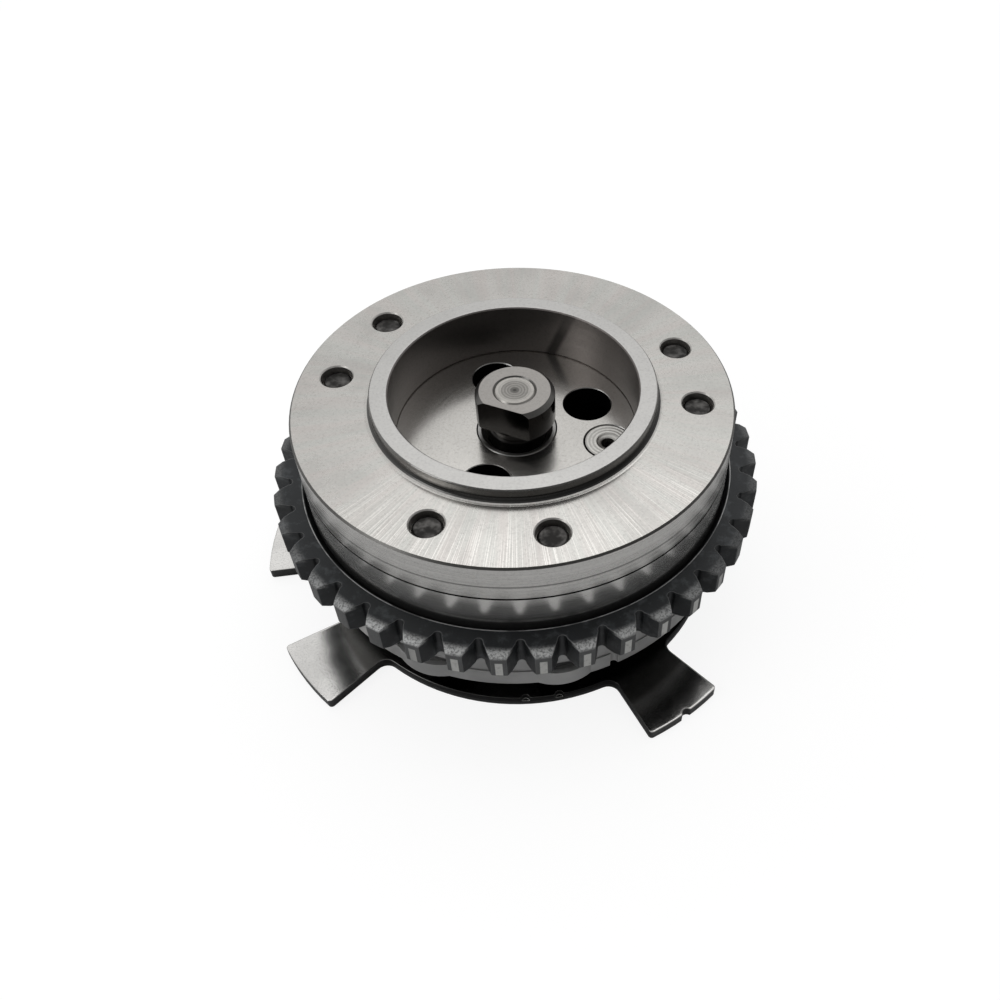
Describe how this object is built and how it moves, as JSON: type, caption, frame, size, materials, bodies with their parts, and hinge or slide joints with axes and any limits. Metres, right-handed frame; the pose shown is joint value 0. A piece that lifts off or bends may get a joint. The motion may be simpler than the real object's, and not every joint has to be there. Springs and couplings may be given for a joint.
{
  "type": "cam phaser",
  "caption": "Hydraulic cam phaser with a toothed chain ring, collared front cover, inner vane rotor, control plunger and tabbed tone wheel.",
  "frame": {"origin": "on the camshaft axis, at the tone wheel's flat underside", "axes": "+Z along the camshaft axis from the camshaft to the front cover; -Y towards the viewer of the picture; +X to the picture's right"},
  "size_m": [0.1115, 0.104, 0.0509],
  "materials": {
    "cover_plate": "turned and ground steel",
    "stator": "ground sintered steel",
    "sprocket_ring": "dark sintered steel, worn tooth tips",
    "rear_plate": "grey sintered steel",
    "clamp_screws": "phosphated steel",
    "dowel_pin": "ground steel",
    "rotor": "satin machined steel",
    "vane_seals": "moulded seal strip",
    "vane_seal_springs": "bare spring steel",
    "lobe_seals": "moulded seal strip",
    "lobe_seal_springs": "bare spring steel",
    "lock_pin": "ground steel",
    "lock_spring": "bare spring steel",
    "lock_cap": "satin machined steel",
    "lock_seat": "hardened ground steel",
    "inlet_plug": "satin machined steel",
    "guide_sleeve": "bored steel",
    "plunger_head": "blackened steel, bright turned top",
    "plunger_stem": "ground steel",
    "stop_ring": "bare spring steel",
    "plunger_spring": "bare spring steel",
    "return_spring": "bare spring strip",
    "spring_post": "plain steel",
    "tone_wheel": "black oxide stamped steel",
    "tone_rivets": "plain steel"
  },
  "bodies": {
    "rotor": {"rotor": "rotor", "vane_seals": "vane_seals", "vane_seal_springs": "vane_seal_springs", "lock_spring": "lock_spring", "lock_cap": "lock_cap", "inlet_plug": "inlet_plug", "guide_sleeve": "guide_sleeve", "plunger_spring": "plunger_spring", "return_spring": "return_spring", "tone_wheel": "tone_wheel", "tone_rivets": "tone_rivets"},
    "housing": {"cover_plate": "cover_plate", "stator": "stator", "sprocket_ring": "sprocket_ring", "rear_plate": "rear_plate", "clamp_screws": "clamp_screws", "dowel_pin": "dowel_pin", "lobe_seals": "lobe_seals", "lobe_seal_springs": "lobe_seal_springs", "lock_seat": "lock_seat", "spring_post": "spring_post"},
    "plunger": {"plunger_head": "plunger_head", "plunger_stem": "plunger_stem", "stop_ring": "stop_ring"},
    "locking_pin": {"lock_pin": "lock_pin"}
  },
  "joints": [
    {"name": "phase_turn", "type": "hinge", "parent": "rotor", "child": "housing", "pos_m": [0, 0, 0.028], "axis": [0, 0, 1], "range_deg": [0, 20], "stiffness_Nm_per_rad": 1, "springref_deg": -2.86, "deforming": ["return_spring"]},
    {"name": "plunger_push", "type": "slide", "parent": "rotor", "child": "plunger", "axis": [0, 0, -1], "range_m": [0, 0.003], "stiffness_N_per_m": 2000, "springref_m": -0.001, "deforming": ["plunger_spring"]},
    {"name": "lock_slide", "type": "slide", "parent": "rotor", "child": "locking_pin", "axis": [0, 0, 1], "range_m": [0, 0.003], "stiffness_N_per_m": 500, "springref_m": -0.001, "deforming": ["lock_spring"]}
  ]
}
